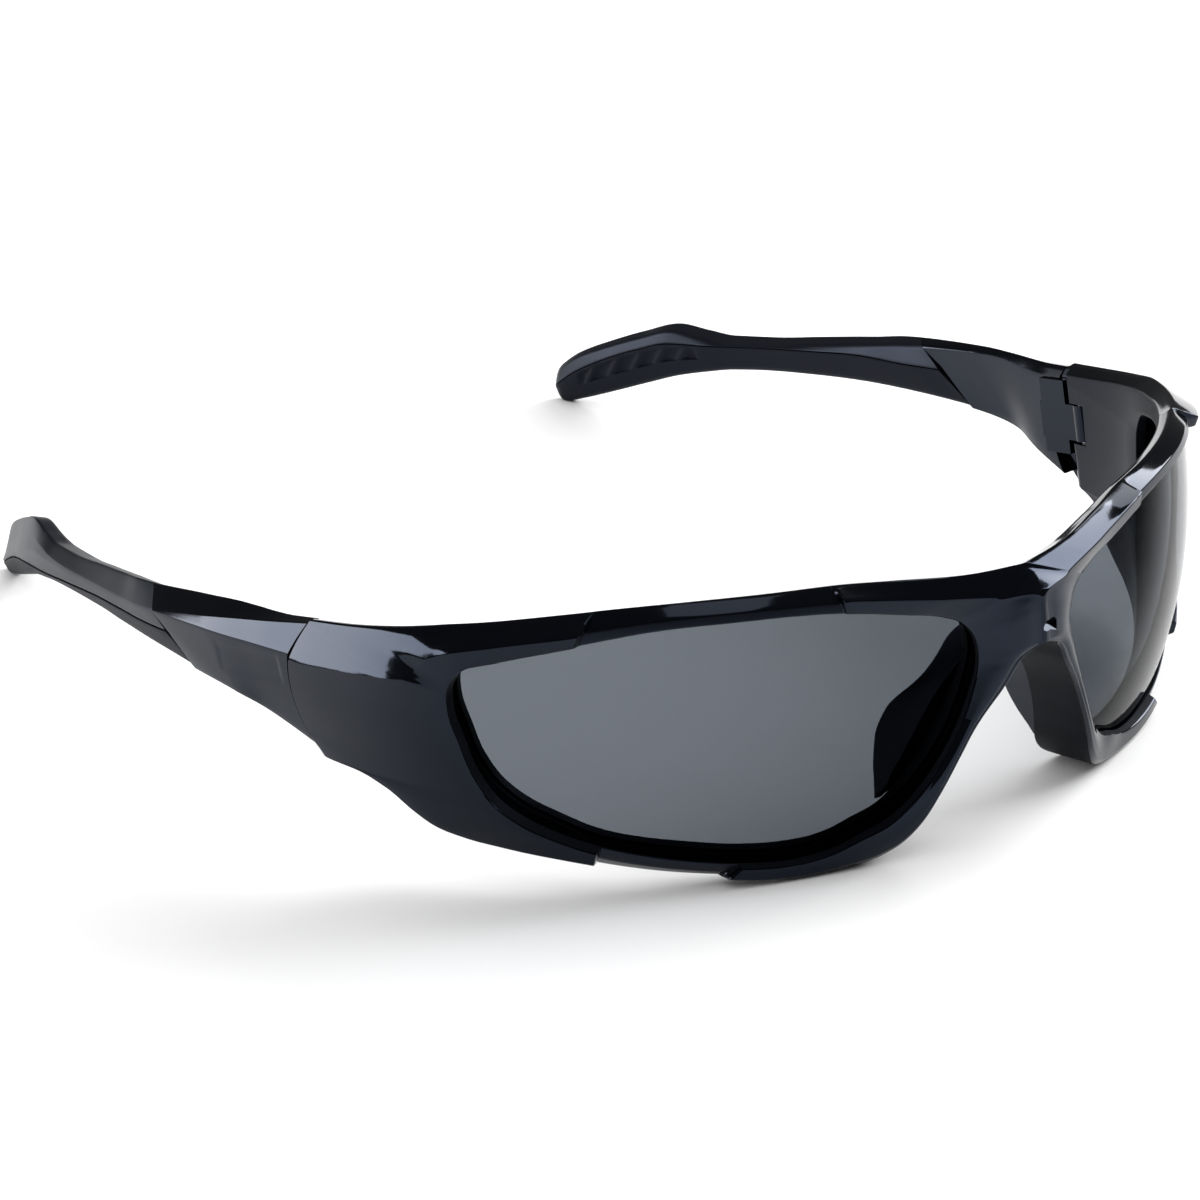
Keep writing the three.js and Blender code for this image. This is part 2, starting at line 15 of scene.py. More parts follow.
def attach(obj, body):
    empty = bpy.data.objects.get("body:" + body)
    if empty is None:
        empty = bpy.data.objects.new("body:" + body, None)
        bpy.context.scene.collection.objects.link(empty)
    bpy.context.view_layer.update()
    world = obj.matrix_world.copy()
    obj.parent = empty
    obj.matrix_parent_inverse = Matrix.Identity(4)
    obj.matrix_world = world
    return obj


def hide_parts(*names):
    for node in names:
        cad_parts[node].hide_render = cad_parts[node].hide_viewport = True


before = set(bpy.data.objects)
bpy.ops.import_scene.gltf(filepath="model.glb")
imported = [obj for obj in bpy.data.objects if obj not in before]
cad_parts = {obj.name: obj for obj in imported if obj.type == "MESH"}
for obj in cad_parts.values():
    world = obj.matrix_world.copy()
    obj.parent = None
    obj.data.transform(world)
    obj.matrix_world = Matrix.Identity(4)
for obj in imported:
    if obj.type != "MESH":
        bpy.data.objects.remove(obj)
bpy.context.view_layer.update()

MM = 0.001
LENS_R = 65.6
LENS_THICK = 2.2
LENS_TUCK = 1.0
GROOVE_GAP = 0.28
WRAP_START = 63
WRAP_END = 82
WRAP_DROP = 1.4
END_FLAT = 0.6
NOSE_DROP = 1.2
NOSE_START = 12
NOSE_END = 40
JOINT_GAP = 0.35
PIVOT = (61.9, -10.8)
TONGUE_R = 1.6
TONGUE_LOW = -7.4
TONGUE_HIGH = -2.2
KNUCKLE_R = 1.95
PLATE = ((60.6, -8.4, -9.5), (61.6, -3.6, 1.2))  # of the arm, behind the hinge's ears
SLOT_GAP = 0.3
SCREW_R = 0.85
SCREW_PLAY = 0.07
SCREW_LOW = -10.9
SCREW_HIGH = 1.4
SCREW_HEAD = 1.35
TABLE_TILT = math.radians(-8.8)
TABLE_SHIFT = np.array([0, -16.85, 25.7])
GRIP_GAP = 0.12
BACK_FALL = 0.45
GRIP_START = 19
GRIP_END = 104.6
GRIP_WALL = 1.2
RIB_UP = 1.3
SADDLE_THICK = 1.7
SADDLE_GAP = 0.02
SADDLE_REACH = 0.5  # how far it starts inside the frame, which then trims it
MM_PER_DEGREE = 1.065  # along the rim, at the lens surface
END_CREASE = -2.0  # height of the crease where the frame meets the arm
END_ROUND = 1.3  # how far the top edge is rounded there

# [degrees round from the nose, height] of one lens opening and its rim; a third entry is a corner.
OPENING = [
    (6.5, -9.8), (6.8, -7.2), (8.2, -4.9), (10.7, -3.3), (14.8, -1.9), (20.8, -0.1), (26.2, 0.9),
    (31.8, 1.5), (39.8, 1.9), (48.6, 1.1), (56.9, -0.1), (60.8, -1.0), (62.5, -3.0), (63.0, -5.8),
    (62.6, -9.8), (62.0, -14.4), (60.4, -18.5), (58.0, -21.1), (55.0, -23.2), (50.8, -25.4),
    (45.4, -27.4), (39.9, -29.0), (35.3, -30.1), (28.8, -31.0), (24.0, -30.6), (20.4, -29.4),
    (17.2, -28.3), (14.6, -26.3), (11.8, -22.9), (9.3, -18.5), (7.5, -14.0),
]
RIM = [
    (0, -8.8, 1), (0, -5.2), (0, 0.1, 1), (6.5, 0.7), (15.2, 2.2), (21.4, 3.1), (28.2, 3.8),
    (35.4, 4.4), (41.6, 4.7), (50, 4.7), (58, 4.4), (66, 4.15), (76, 3.5), (86, 3.2, 1), (87.5, -4),
    (86, -13.4, 1), (79.5, -14.6), (76.5, -16.4), (74.5, -19), (72.6, -21.2), (69.5, -22.8),
    (64.5, -24.4), (57.8, -26.5), (52.3, -28.3), (45.8, -30.1), (38, -31.8), (32.2, -33.0),
    (27, -33.6), (22.6, -33.5), (19.3, -32.9), (16.3, -31.5), (13.6, -28.9), (11.3, -25.2),
    (9.1, -21.1), (6.9, -17.1), (4.3, -13.2), (2.1, -9.8),
]
# Stations round the rim: opening point, rim point, share of the way to the crease, heights off the
# sphere at opening, crease, rim, rim back and opening back, then how far the front surface swells.
STATIONS = [
    (0.5, 0, 0.93, 1.0, 4.3, 4.4, -5.6, -3.6, 0.9),
    (1.2, 1, 0.95, 1.0, 4.3, 4.4, -3.8, -3.6, 0.9),
    (1.6, 1.33, 0.96, 1.0, 4.3, 4.3, -3.3, -3.6, 0.7),
    (2.3, 2, 0.45, 1.0, 3.0, 1.6, -2.5, -3.6, 0.1),
    (3.3, 3, 0.45, 1.0, 2.3, 0.8, -2.6, -3.6, 0),
    (4.1, 4, 0.5, 1.0, 1.7, -0.5, -3.0, -3.6, 0),
    (5.0, 5, 0.53, 1.0, 1.35, -1.5, -3.2, -3.6, 0),
    (5.07, 5.05, 0.42, 0.6, 0.5, -1.5, -3.2, -3.6, 0),
    (7.0, 6.9, 0.42, 0.6, 0.5, -1.5, -3.2, -3.6, 0),
    (8.93, 8.53, 0.42, 0.6, 0.5, -1.2, -3.0, -3.6, 0),
    (9.0, 8.58, 0.4, 1.5, 2.1, -1.1, -3.0, -3.6, 0),
    (10, 9.8, 0.455, 1.7, 2.3, -0.6, -2.8, -3.6, 0),
    (10.7, 10.5, 0.435, 1.9, 2.3, -0.4, -2.8, -3.6, 0),
    (11.3, 11, 0.43, 2.0, 1.95, -0.2, -2.8, -3.6, 0),
    (11.7, 12, 0.27, 2.0, 1.75, -0.2, -2.8, -3.6, 0),
    (12.0, 12.6, 0.25, 2.0, 1.97, -0.2, -2.8, -3.6, 0),
    (12.2, 13, 0.224, 2.0, 2.2, -0.2, -2.8, -3.6, 0),
    (12.6, 13.33, 0.5, 2.0, 2.1, 0.9, -2.8, -3.6, 0),
    (13, 13.62, 0.96, 2.0, 2.05, 2.0, -2.8, -3.6, 0),
    (14.5, 14.6, 0.96, 2.0, 2.0, 2.0, -2.8, -3.6, 0),
    (15.5, 15, 0.85, 2.0, 2.1, 0.9, -2.8, -3.6, 0),
    (16.2, 17, 0.8, 2.0, 2.2, 0.2, -2.8, -3.6, 0),
    (17, 19, 0.74, 2.0, 2.2, 0.0, -3.0, -3.6, 0),
    (18, 21, 0.66, 1.9, 2.1, 0.1, -3.0, -3.6, 0),
    (18.97, 23, 0.5, 1.8, 2.0, 0.3, -3.0, -3.6, 0),
    (19.05, 23.06, 0.5, 0.5, 0.5, -0.2, -3.0, -3.6, 0),
    (21.93, 24.95, 0.5, 0.5, 0.5, -0.1, -3.0, -3.6, 0),
    (22.02, 25.02, 0.55, 1.4, 1.8, 0.1, -3.0, -3.6, 0),
    (24, 27.5, 0.6, 1.3, 1.9, 0.9, -3.0, -3.6, 0),
    (25.5, 29.3, 0.75, 1.5, 2.1, 1.7, -4.8, -3.6, 0.1),
    (27, 31, 0.8, 1.4, 2.4, 2.2, -6.2, -3.6, 0.2),
    (29, 33.5, 0.8, 1.3, 2.1, 1.9, -6.3, -3.6, 0.3),
    (30.3, 35.3, 0.86, 1.1, 3.1, 3.1, -6.2, -3.6, 0.6),
]
LAPS = len(OPENING)
RING_ROWS = STATIONS + [(STATIONS[0][0] + LAPS, STATIONS[0][1] + len(RIM), *STATIONS[0][2:])]

# Arm: [along, outer x, thickness, bottom, lower crease, upper crease, top].
ARM = [
    (-10, 65.3, 4.9, -13.8, -1.5, 2.7, 3.7), (2, 66.9, 4.6, -9.3, -0.6, 2.0, 3.5),
    (10, 67.9, 4.5, -7.6, 0.0, 1.4, 3.5), (18, 68.2, 4.6, -6.3, 0.4, 0.8, 3.35),
    (26, 67.8, 4.7, -5.15, 0.3, 0.5, 3.2), (37, 66.8, 4.7, -4.1, 0.0, 0.4, 2.85),
    (47, 65.4, 4.7, -3.6, -0.2, 0.3, 2.35), (58, 63.8, 4.8, -3.4, -0.4, 0.2, 1.75),
    (66, 62.4, 4.9, -3.6, -0.4, 0.4, 1.7), (71, 61.4, 5.0, -4.1, -0.3, 0.9, 2.4),
    (77, 60.0, 5.0, -4.9, -0.8, 1.1, 3.4), (84, 58.2, 4.8, -6.4, -2.2, -0.2, 2.1),
    (91, 56.2, 4.5, -8.0, -4.2, -2.2, 0.4), (98, 54.3, 4.0, -9.5, -6.6, -4.6, -1.7),
    (103, 52.9, 3.2, -10.3, -8.3, -7.0, -4.4), (106.3, 52.0, 2.0, -9.6, -8.8, -8.2, -6.9),
]
SKEW_Z = 1.2
SKEW_X = 0.3
SKEW_MIDDLE = -3.5
SKEW_REACH = 20
# Where gloss arm and soft grip part: [along, height outside, height inside].
PARTING = [
    (0, -2.0, -1.3), (26, -1.7, -0.5), (42, -1.4, 0.5), (58, -1.9, 0.5), (68, -2.6, 0.4),
    (77, -3.3, 0.6), (84, -4.0, -0.6), (91, -5.0, -2.4), (98, -6.8, -4.8), (103, -8.4, -7.2),
    (106.3, -9.0, -8.6),
]
# Nose saddle: opening point beside its front edge, then its rear edge [x, y, z].
SADDLE = [
    (27.1, 13.2, -49.1, -29.9), (27.8, 12.2, -48.6, -27.4), (28.4, 11.2, -47.8, -24.7),
    (29.0, 10.2, -47.5, -21.8), (29.5, 9.3, -49.0, -18.4), (30.1, 7.6, -52.8, -14.6),
    (30.8, 4.2, -55.2, -10.6), (31.5, 0, -55.7, -9.0),
]


# ---- materials ----
def node(tree, kind, **settings):
    made = tree.nodes.new("ShaderNode" + kind)
    for name, value in settings.items():
        if hasattr(made, name):
            setattr(made, name, value)
        else:
            made.inputs[name].default_value = value
    return made


def plastic(name, colour, roughness, spread, grain, bump, mirror, **sockets):
    """Moulded plastic or rubber: a fine grain in bump and roughness."""
    material = bpy.data.materials.new(name)
    material.use_nodes = True
    tree = material.node_tree
    shader = tree.nodes["Principled BSDF"]
    shader.inputs["Base Color"].default_value = (*colour, 1)
    shader.inputs["Specular IOR Level"].default_value = mirror
    shader.inputs["Specular Tint"].default_value = (0.56, 0.69, 1.0, 1)
    for socket, value in sockets.items():
        shader.inputs[socket.replace("_", " ")].default_value = value
    place = node(tree, "TexCoord").outputs["Object"]
    fine = node(tree, "TexNoise", Scale=grain, Detail=3)
    broad = node(tree, "TexNoise", Scale=60, Detail=2)
    reach = node(tree, "MapRange")
    reach.inputs["To Min"].default_value = roughness - spread
    reach.inputs["To Max"].default_value = roughness + spread
    relief = node(tree, "Bump", Strength=1.0, Distance=bump)
    tree.links.new(place, fine.inputs["Vector"])
    tree.links.new(place, broad.inputs["Vector"])
    tree.links.new(broad.outputs["Fac"], reach.inputs["Value"])
    tree.links.new(reach.outputs["Result"], shader.inputs["Roughness"])
    tree.links.new(fine.outputs["Fac"], relief.inputs["Height"])
    tree.links.new(relief.outputs["Normal"], shader.inputs["Normal"])
    return material


MIRROR_POWER = 2.5


def smoke_glass(name, tint, mirror_from):
    """A tinted lens: see-through face-on, with a mirror share growing towards grazing angles."""
    material = bpy.data.materials.new(name)
    material.use_nodes = True
    tree = material.node_tree
    tree.nodes.clear()
    facing = node(tree, "LayerWeight", Blend=0.5).outputs["Facing"]
    power = node(tree, "Math", operation="POWER")
    power.inputs[1].default_value = MIRROR_POWER
    share = node(tree, "MapRange")
    share.inputs["From Min"].default_value = mirror_from
    clear = node(tree, "BsdfTransparent", Color=(*tint, 1))
    gloss = node(tree, "BsdfGlossy", Roughness=0.03)
    blend = node(tree, "MixShader")
    out = node(tree, "OutputMaterial")
    tree.links.new(facing, share.inputs["Value"])
    tree.links.new(share.outputs["Result"], power.inputs[0])
    tree.links.new(power.outputs[0], blend.inputs[0])
    tree.links.new(clear.outputs[0], blend.inputs[1])
    tree.links.new(gloss.outputs[0], blend.inputs[2])
    tree.links.new(blend.outputs[0], out.inputs["Surface"])
    return material


GLOSS = plastic("frame_gloss", (0.0012, 0.0014, 0.0022), 0.07, 0.02, 900, 0.000004, 0.28)
SATIN = plastic("frame_satin", (0.002, 0.0023, 0.0035), 0.3, 0.04, 1500, 0.000006, 0.34)
INSIDE = plastic("frame_inside", (0.003, 0.0034, 0.005), 0.36, 0.04, 1500, 0.000006, 0.17)
DULL = plastic("frame_dull", (0.004, 0.0045, 0.006), 0.5, 0.05, 1500, 0.000008, 0.06)
ARM_GLOSS = plastic("arm_gloss", (0.0012, 0.0014, 0.0022), 0.1, 0.02, 900, 0.000004, 0.31)
ARM_SATIN = plastic("arm_satin", (0.004, 0.0045, 0.0065), 0.4, 0.04, 1500, 0.000004, 0.3)
SOFT = plastic("grip_soft", (0.005, 0.006, 0.009), 0.5, 0.05, 5000, 0.000002, 0.1)
SADDLE_SOFT = plastic("saddle_soft", (0.028, 0.031, 0.039), 0.6, 0.05, 5000, 0.000002, 0.1)
STEEL = plastic("screw_steel", (0.55, 0.56, 0.58), 0.28, 0.06, 1800, 0.000008, 0.5, Metallic=1)
SMOKE = smoke_glass("lens_smoke", (0.348, 0.367, 0.392), 0.5)


# ---- curves and surfaces ----
def mix(a, b, s):
    return a + (b - a) * s


def ease(s):
    c = np.clip(s, 0, 1)
    return c * c * (3 - 2 * c)


def hermite(p, q, m0, m1, s):
    return ((2 * p - 2 * q + m0 + m1) * s + (3 * q - 3 * p - 2 * m0 - m1)) * s * s + m0 * s + p


def closed_curve(points, index):
    """Points of the smooth closed curve at fractional indices."""
    table = np.array([(*p, 0)[:3] for p in points], float)
    i = np.floor(index).astype(int)
    s = (index - i)[:, None]
    before, p, q, after = (table[(i + k) % len(table)] for k in (-1, 0, 1, 2))

    def length(a, b):
        return np.linalg.norm((b - a)[:, :2], axis=1)[:, None]

    l0, l1, l2 = length(before, p), length(p, q), length(q, after)
    back, step, onward = ((b - a)[:, :2] for a, b in ((before, p), (p, q), (q, after)))
    m0 = np.where(p[:, 2:] > 0, step, (back / l0 * l1 + step / l1 * l0) / (l0 + l1) * l1)
    m1 = np.where(q[:, 2:] > 0, step, (step / l1 * l2 + onward / l2 * l1) / (l1 + l2) * l1)
    return hermite(p[:, :2], q[:, :2], m0, m1, s)


def read_table(rows, values):
    """Columns of a table whose first column rises, read with no overshoot."""
    table = np.array(rows, float)
    x = table[:, 0]
    v = np.clip(values, x[0], x[-1])
    i = np.clip(np.searchsorted(x, v) - 1, 0, len(x) - 2)
    slope = np.diff(table, axis=0) / np.diff(x)[:, None]
    tangent = np.zeros_like(table)
    tangent[0], tangent[-1] = slope[0], slope[-1]
    a, b = slope[:-1], slope[1:]
    same = a * b > 0
    tangent[1:-1] = np.where(same, 2 * a * b / np.where(same, a + b, 1), 0)
    width = np.diff(x)[i][:, None]
    s = ((v - x[i])[:, None]) / width
    out = hermite(table[i], table[i + 1], tangent[i] * width, tangent[i + 1] * width, s)
    return out.T[1:]


def on_wrap(degrees, z, off):
    """Points at an angle round from the nose, a height, and a distance off the lens surface."""
    share = ease((degrees - WRAP_START) / (WRAP_END - WRAP_START))
    nose = 1 - ease((degrees - NOSE_START) / (NOSE_END - NOSE_START))
    radius = LENS_R - WRAP_DROP * share - NOSE_DROP * nose
    bulge = 1 - END_FLAT * share
    level = np.sqrt(radius**2 - z**2 * bulge)
    angle = np.radians(degrees)
    base = np.stack([level * np.sin(angle), -level * np.cos(angle), z + 0 * level], -1)
    normal = base * np.stack([1 + 0 * bulge, 1 + 0 * bulge, bulge], -1)
    return base + normal / np.linalg.norm(normal, axis=-1, keepdims=True) * off[..., None]


def joint_y(z):
    return -4.7 - 0.049 * (z + 5.5) ** 2


def rounded_ring(corners, radii, arcs, between):
    """Closed outlines with rounded corners. corners is (outlines, corners, coordinates); arcs is
    the number of points in each corner and between the number on each side after it."""
    count = corners.shape[1]
    pieces = []
    starts, ends = [], []
    for k in range(count):
        corner = corners[:, k]
        cuts = []
        for other in (corners[:, k - 1], corners[:, (k + 1) % count]):
            side = other - corner
            length = np.linalg.norm(side, axis=1)[:, None]
            reach = np.minimum(radii[:, k : k + 1], 0.4 * length)
            cuts.append(corner + side / np.maximum(length, 1e-9) * reach)
        starts.append(cuts[0] if arcs[k] > 1 else corner)
        ends.append(cuts[1] if arcs[k] > 1 else corner)
    for k in range(count):
        for j in range(arcs[k]):
            s = j / max(1, arcs[k] - 1)
            curve = (1 - s) ** 2 * starts[k] + 2 * s * (1 - s) * corners[:, k] + s * s * ends[k]
            pieces.append(curve if arcs[k] > 1 else corners[:, k])
        following = starts[(k + 1) % count]
        pieces += [mix(ends[k], following, j / (between[k] + 1)) for j in range(1, between[k] + 1)]
    return np.stack(pieces, axis=1)


# ---- meshes ----
def lay(points):
    """From the wearer's frame in millimetres to the table frame in metres."""
    c, s = math.cos(TABLE_TILT), math.sin(TABLE_TILT)
    x, y, z = np.moveaxis(np.asarray(points, float), -1, 0)
    return (np.stack([x, y * c - z * s, y * s + z * c], -1) + TABLE_SHIFT) * MM


def make_object(name, points, faces, finishes=None):
    """A closed mesh object from points in the wearer's frame, with a material index per face."""
    data = bpy.data.meshes.new(name)
    data.from_pydata([tuple(p) for p in lay(points)], [], faces)
    if finishes is not None:
        data.polygons.foreach_set("material_index", finishes)
    shape = bmesh.new()
    shape.from_mesh(data)
    bmesh.ops.remove_doubles(shape, verts=shape.verts, dist=1e-7)
    bmesh.ops.dissolve_degenerate(shape, edges=shape.edges, dist=1e-8)
    bmesh.ops.recalc_face_normals(shape, faces=shape.faces)
    shape.to_mesh(data)
    shape.free()
    piece = bpy.data.objects.new(name, data)
    bpy.context.scene.collection.objects.link(piece)
    return piece


def loft_faces(rings, count, closed):
    faces = []
    for i in range(rings if closed else rings - 1):
        a, b = i * count, ((i + 1) % rings) * count
        faces += [(a + j, b + j, b + (j + 1) % count, a + (j + 1) % count) for j in range(count)]
    if not closed:
        faces.append(tuple(range(count)))
        faces.append(tuple((rings - 1) * count + j for j in range(count)))
    return faces


def loft(name, rings, closed=False, finishes=None):
    faces = loft_faces(*rings.shape[:2], closed)
    return make_object(name, rings.reshape(-1, 3), faces, finishes)


def mirrored(piece, name):
    data = piece.data.copy()
    data.transform(Matrix.Scale(-1, 4, Vector((1, 0, 0))))
    data.flip_normals()
    data.name = name
    twin = bpy.data.objects.new(name, data)
    bpy.context.scene.collection.objects.link(twin)
    return twin


def combine(piece, others, operation):
    """Boolean with each of the others, which are then removed."""
    for other in others:
        modifier = piece.modifiers.new("cut", "BOOLEAN")
        modifier.operation = operation
        modifier.solver = "MANIFOLD"
        modifier.object = other
        other.data.materials.clear()
        for finish in piece.data.materials:
            other.data.materials.append(finish)
        bpy.context.view_layer.update()
        result = bpy.data.meshes.new_from_object(
            piece.evaluated_get(bpy.context.evaluated_depsgraph_get())
        )
        piece.modifiers.clear()
        piece.data = result
        bpy.data.objects.remove(other)


def box_points(low, high):
    return np.array([(x, y, z) for z in (low[2], high[2]) for x, y in (
        (low[0], low[1]), (high[0], low[1]), (high[0], high[1]), (low[0], high[1]))], float)


def box_cutter(low, high):
    return loft("cutter", box_points(low, high).reshape(2, 4, 3))


def bar_cutter(radius, low, high, sides=48):
    turn = np.linspace(0, 2 * np.pi, sides, endpoint=False)
    ring = np.stack([PIVOT[0] + radius * np.cos(turn), PIVOT[1] + radius * np.sin(turn)], -1)
    rings = [np.column_stack([ring, np.full(sides, z)]) for z in (low, high)]
    return loft("cutter", np.stack(rings))


def past_joint(side, gap):
    z = np.linspace(-16, 8, 41)
    face = np.column_stack([joint_y(z) + gap, z])
    far = gap - 8 + 14 * side
    outline = np.vstack([face, [[far, 8], [far, -16]]])
    rings = [np.column_stack([np.full(len(outline), x), outline]) for x in (50, 75)]
    return loft("cutter", np.stack(rings))


def table_cutter():
    """The table top, as it lies in the wearer's frame."""
    corners = box_points((-90, -110, -20), (90, 110, 0)) - TABLE_SHIFT
    c, s = math.cos(-TABLE_TILT), math.sin(-TABLE_TILT)
    x, y, z = corners.T
    return loft("cutter", np.column_stack([x, y * c - z * s, y * s + z * c]).reshape(2, 4, 3))


def both_sides(cutter):
    return [cutter, mirrored(cutter, "cutter")]


DIMPLE = {"centre": (0.75, -68.15, -8.1), "facing": (0.228, -0.847, 0.479), "half": 1.1}


def dimple_cutter():
    """The small sunk facet in the middle of the bridge, just above the nose arch."""
    outward = np.array(DIMPLE["facing"]) / np.linalg.norm(DIMPLE["facing"])
    across = np.cross((0, 0, 1), outward)
    across /= np.linalg.norm(across)
    upward = np.cross(outward, across)
    centre = np.array(DIMPLE["centre"])
    corners = [(-1, -0.6), (-0.6, -1), (0.6, -1), (1, -0.6), (1, 0.6), (0.6, 1), (-0.6, 1), (-1, 0.6)]
    floor = np.array([centre + (a * across + b * upward) * DIMPLE["half"] for a, b in corners])
    return loft("cutter", np.stack([floor, floor + 4 * outward]))


# ---- frame ----
# Faces of the frame's section, counted from the opening across the front to the groove.
FRONT_FACES = np.arange(2, 11)
INNER_FACES = np.arange(25, 36)
WALL_FACES = np.arange(21, 34)
GROOVE_FACES = np.arange(35, 41)
# Stretches of the rim, as fractional rim points.
RECESSES = ((5.03, 8.56), (23.05, 24.97))
BRIDGE = (34, 2)  # from the first, past the middle, to the second
NASAL = (29.3, 1)
END = (13, 13.98)
END_SLOPE = 0.44  # of the facet above the crease, where the frame meets the arm
END_LIMIT = 2.03


def station(t):
    rim_index, crease, *heights, swell = read_table(RING_ROWS, t)
    opening, rim = closed_curve(OPENING, t), closed_curve(RIM, rim_index)
    return opening, rim, rim_index, crease, heights, swell


def share_for(opening, rim, distance):
    wide = (rim[:, 0] - opening[:, 0]) * math.pi / 180 * LENS_R * 0.93
    return distance / np.hypot(wide, rim[:, 1] - opening[:, 1])


def rim_back(rim, rim_height, off):
    nasal = np.where(rim[:, 1] < 0, ease((34 - rim[:, 0]) / 14), 0)
    grow = 1 / (1 + off / LENS_R * nasal)
    turned = np.sin(np.radians(rim[:, 0])) * mix(1, grow, 0.6)
    fall = BACK_FALL * (rim_height - off) * ease((rim[:, 1] + 2) / 2)
    return np.degrees(np.arcsin(np.clip(turned, -1, 1))), rim[:, 1] * grow - fall


def ring_times(spacing):
    """Section positions round the rim, closer together at each step in the surface."""
    times = []
    for (t, *_), (following, *_) in zip(RING_ROWS, RING_ROWS[1:]):
        narrow = following - t < 0.2
        count = 5 if narrow else max(2, round((following - t) / spacing))
        times += list(mix(t, following, np.arange(count) / count))
    return np.array(times)


def rim_rings(times):
    opening, rim, rim_index, crease, heights, swell = station(times)
    h_open, h_crease, h_rim, h_back, h_open_back = heights
    tuck = share_for(opening, rim, LENS_TUCK + GROOVE_GAP)
    # At the frame's end the facet above the crease stays flat as it runs into the joint.
    at_end = (rim_index > END[0]) & (rim_index < END[1])
    facet = np.minimum(-0.2 + (3.2 - rim[:, 1]) * END_SLOPE, END_LIMIT)
    level = (END_CREASE - opening[:, 1]) / np.where(at_end, rim[:, 1] - opening[:, 1], 1)
    h_rim = np.where(at_end, facet, h_rim)
    crease = np.where(at_end, np.clip(level, 0.2, 0.96), crease)

    def at(share, off):
        degrees = mix(opening[:, 0], rim[:, 0], share)
        return np.stack([degrees * MM_PER_DEGREE, mix(opening[:, 1], rim[:, 1], share), off], -1)

    back_degrees, back_z = rim_back(rim, h_rim, h_back)
    flat = np.zeros_like(times)
    under = flat - LENS_THICK - GROOVE_GAP
    corners = np.stack(
        [
            at(flat, h_open),
            at(crease, h_crease),
            at(flat + 1, h_rim),
            np.stack([back_degrees * MM_PER_DEGREE, back_z, h_back], -1),
            at(tuck * 0.7, h_open_back),
            at(tuck * 0.7, under),
            at(tuck, under),
            at(tuck, flat + GROOVE_GAP),
            at(flat, flat + GROOVE_GAP),
        ],
        axis=1,
    )
    on_middle = (np.minimum(rim_index % len(RIM), 3) <= 2.02).astype(float)
    edge = 0.35 * (1 - on_middle)
    above = edge + (END_ROUND - 0.35) * ease(rim_index - 10.5) * ease((13.6 - rim_index) / 0.6)
    radii = np.stack(
        [flat + 0.22, flat + 0.22, above, edge, flat + 0.3, flat, flat, flat, flat], axis=1
    )
    arcs = [4, 4, 4, 4, 3, 1, 1, 1, 1]
    between = [6, 4, 2, 6, 0, 0, 0, 0, 0]
    rings = rounded_ring(corners, radii, arcs, between)
    front = slice(arcs[0], arcs[0] + between[0])
    u = (np.arange(between[0]) + 1) / (between[0] + 1)
    rings[:, front, 2] += swell[:, None] * 4 * u * (1 - u)
    return on_wrap(rings[..., 0] / MM_PER_DEGREE, rings[..., 1], rings[..., 2])


def ring_finishes(times, count):
    """0 gloss, 1 satin, 2 dull, 3 inside, for the faces between neighbouring sections."""
    rim_index = station(times)[2] % len(RIM)
    finishes = np.zeros((len(times), count), int)
    recessed = sum((rim_index > low) & (rim_index < high) for low, high in RECESSES) > 0
    bridge = (rim_index > BRIDGE[0]) | (rim_index < BRIDGE[1])
    nasal = (rim_index > NASAL[0]) | (rim_index < NASAL[1])
    finishes[np.ix_(recessed | bridge, FRONT_FACES)] = 1
    finishes[:, INNER_FACES] = 3
    finishes[np.ix_(nasal, WALL_FACES)] = 2
    finishes[:, GROOVE_FACES] = 2
    return finishes.ravel()


def make_front():
    times = ring_times(0.06)
    rings = rim_rings(times)
    faces = loft_faces(*rings.shape[:2], True)
    finishes = ring_finishes(times, rings.shape[1])
    points = rings.reshape(-1, 3)
    count = len(points)
    points = np.vstack([points, points * (-1, 1, 1)])
    faces += [tuple(count + k for k in reversed(face)) for face in faces]
    finishes = np.concatenate([finishes, finishes])
    on_middle = np.abs(points[:, 0]) < 1e-6
    kept = [k for k, face in enumerate(faces) if not all(on_middle[v] for v in face)]
    front = make_object("frame_shell", points, [faces[k] for k in kept], finishes[kept])
    for finish in (GLOSS, SATIN, DULL, INSIDE):
        front.data.materials.append(finish)
    slot = box_cutter(
        (PIVOT[0] - 8, PIVOT[1] - TONGUE_R - SLOT_GAP, TONGUE_LOW - SLOT_GAP),
        (PIVOT[0] + TONGUE_R + SLOT_GAP, PIVOT[1] + 9, TONGUE_HIGH + SLOT_GAP),
    )
    bore = bar_cutter(SCREW_R + SCREW_PLAY, SCREW_LOW - 0.3, SCREW_HIGH + 0.3)
    head_room = bar_cutter(SCREW_HEAD + 0.3, SCREW_LOW - 6, SCREW_LOW + 1.0)
    fold_room = box_cutter((PIVOT[0] - 8, PIVOT[1], -16), (PIVOT[0], PIVOT[1] + 9, 8))
    combine(fold_room, [bar_cutter(KNUCKLE_R, -17, 9)], "DIFFERENCE")
    for cutter in (past_joint(1, 0), fold_room, slot, bore, head_room):
        combine(front, both_sides(cutter), "DIFFERENCE")
    combine(front, [table_cutter(), dimple_cutter()], "DIFFERENCE")
    return front


# ---- lens ----
def make_lens():
    around, across = 320, 20
    start = RING_ROWS[0][0]
    times = start + LAPS * np.arange(around) / around
    opening, rim, *_ = station(times)
    edge = mix(opening, rim, share_for(opening, rim, LENS_TUCK)[:, None])
    middle = np.array([35, -13.5])

    def ring(share, off):
        point = mix(middle, edge, share)
        return on_wrap(point[:, 0], point[:, 1], np.full(around, off))

    shares = [0.02, *np.linspace(0, 1, across + 1)[1:]]
    rings = [ring(s, 0.0) for s in shares] + [ring(s, -LENS_THICK) for s in reversed(shares)]
    return loft("lens_left_glass", np.stack(rings))


